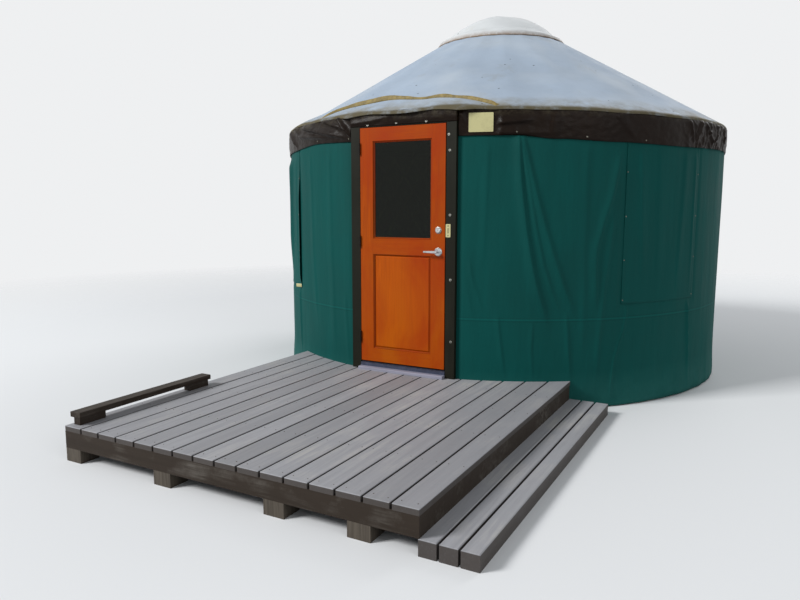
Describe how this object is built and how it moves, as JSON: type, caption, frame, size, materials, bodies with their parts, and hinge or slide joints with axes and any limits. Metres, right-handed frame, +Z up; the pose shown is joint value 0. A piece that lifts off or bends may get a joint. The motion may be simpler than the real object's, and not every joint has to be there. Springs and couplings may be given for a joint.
{
  "type": "yurt",
  "caption": "Round yurt with a lattice wall, coned fabric roof and crown cap, one hinged door, a timber platform, a raised porch and a side step.",
  "frame": {"origin": "on the yurt's axis at the level of the floor it stands on, in the middle of the centre sleeper's underside", "axes": "+Z up, the door and the porch towards -Y, +X to the right of a person who faces the door from outside"},
  "size_m": [4.622, 6.9308, 3.7257],
  "materials": {
    "plywood": "sanded plywood",
    "framing_timber": "rough sawn softwood",
    "cable_steel": "galvanised",
    "rafter_timber": "planed softwood",
    "lath_timber": "planed softwood",
    "cap_canvas": "coated canvas, stained at its rim",
    "roof_vinyl": "matt coated fabric, stained",
    "valance_vinyl": "matt coated fabric",
    "wall_vinyl": "satin coated fabric",
    "clear_vinyl": "clear flexible sheet",
    "frame_paint": "dark satin paint",
    "threshold_timber": "pale weathered paint",
    "saddle_aluminium": "dull mill finish",
    "door_timber": "orange stain and varnish",
    "door_glass": "clear glass before a dark room",
    "hinge_steel": "dark bronze",
    "satin_steel": "satin",
    "plate_paint": "cream paint",
    "deck_paint": "worn grey deck paint"
  },
  "bodies": {
    "root": {"crown_cap": "cap_canvas", "crown_hoops": "rafter_timber", "crown_ring": "rafter_timber", "door_header": "frame_paint", "door_jambs": "frame_paint", "frame_hinges": "hinge_steel", "kerb_blocks": "deck_paint", "kerb_rail": "deck_paint", "lattice_inner_laths": "lath_timber", "lattice_outer_laths": "lath_timber", "platform_floor": "plywood", "platform_joists": "framing_timber", "platform_rim": "framing_timber", "platform_sleepers": "framing_timber", "porch_deck": "deck_paint", "porch_fascias": "deck_paint", "porch_footings": "framing_timber", "porch_joists": "framing_timber", "rafters": "rafter_timber", "roof_cover": "roof_vinyl", "sign_plate": "plate_paint", "step_timbers": "deck_paint", "strike_plate": "plate_paint", "tension_cable": "cable_steel", "threshold_board": "threshold_timber", "threshold_saddle": "saddle_aluminium", "valance": "valance_vinyl", "wall_back_left": "wall_vinyl", "wall_back_right": "wall_vinyl", "wall_front_left": "wall_vinyl", "wall_front_right": "wall_vinyl", "wall_side_left": "wall_vinyl", "wall_side_right": "wall_vinyl", "window_flap_left": "wall_vinyl", "window_flap_right": "wall_vinyl", "window_panes": "clear_vinyl"},
    "door": {"door_stiles": "door_timber", "door_rails": "door_timber", "door_beads": "door_timber", "door_glass": "door_glass", "door_panel": "door_timber", "leaf_hinges": "hinge_steel", "lever_roses": "satin_steel", "deadbolt": "satin_steel"},
    "lever": {"lever_handle": "satin_steel"}
  },
  "joints": [
    {"name": "door_swing", "type": "hinge", "parent": "root", "child": "door", "pos_m": [-0.409, -2.29, 1.332], "axis": [0, 0, -1], "range_deg": [0, 100]},
    {"name": "lever_turn", "type": "hinge", "parent": "door", "child": "lever", "pos_m": [0.3465, -2.258, 1.308], "axis": [0, -1, 0], "range_deg": [0, 45], "stiffness_Nm_per_rad": 0.6, "springref_deg": -85.94}
  ]
}
